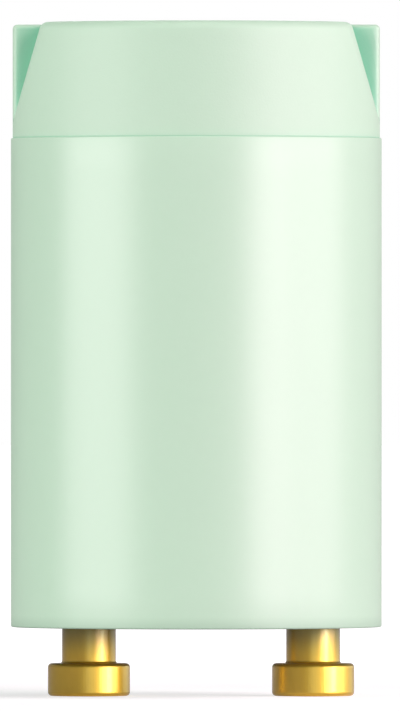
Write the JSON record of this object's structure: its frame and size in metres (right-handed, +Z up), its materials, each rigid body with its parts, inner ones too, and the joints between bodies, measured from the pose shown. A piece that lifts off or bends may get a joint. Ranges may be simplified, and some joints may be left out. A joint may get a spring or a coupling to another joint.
{
  "type": "fluorescent lamp starter",
  "caption": "Glow starter for a fluorescent lamp: pale green moulded can with a ribbed twist-grip collar, on turned brass contact pins.",
  "frame": {"origin": "on the axis of the can, in the plane of the end faces of the contact pins, on which it stands", "axes": "+Z up along the can towards the grip collar; +X through the two contact pins, the right pin as the picture shows it; +Y away from the picture's camera"},
  "size_m": [0.0216, 0.0216, 0.039],
  "materials": {
    "can_plastic": "pale mint-green moulded plastic, satin can, finer matt grain on the grip collar",
    "disc_plastic": "plain moulded insulating plastic, matt",
    "pin_brass": "turned and burnished brass",
    "bulb_glass": "clear drawn glass tube",
    "nickel_wire": "drawn nickel-plated wire",
    "electrode_steel": "rolled strip, dull",
    "bimetal": "rolled two-layer strip, satin",
    "capacitor_resin": "dipped resin, glossy",
    "tinned_wire": "tinned copper wire",
    "solder": "soft solder, dull silver"
  },
  "bodies": {
    "root": {"housing": "can_plastic", "base_disc": "disc_plastic", "contact_pin_left": "pin_brass", "contact_pin_right": "pin_brass", "glow_bulb_glass": "bulb_glass", "bulb_lead_left": "nickel_wire", "bulb_lead_right": "nickel_wire", "fixed_electrode": "electrode_steel", "bimetal_strip": "bimetal", "capacitor": "capacitor_resin", "capacitor_lead_left": "tinned_wire", "capacitor_lead_right": "tinned_wire", "solder_left": "solder", "solder_right": "solder"}
  },
  "joints": []
}
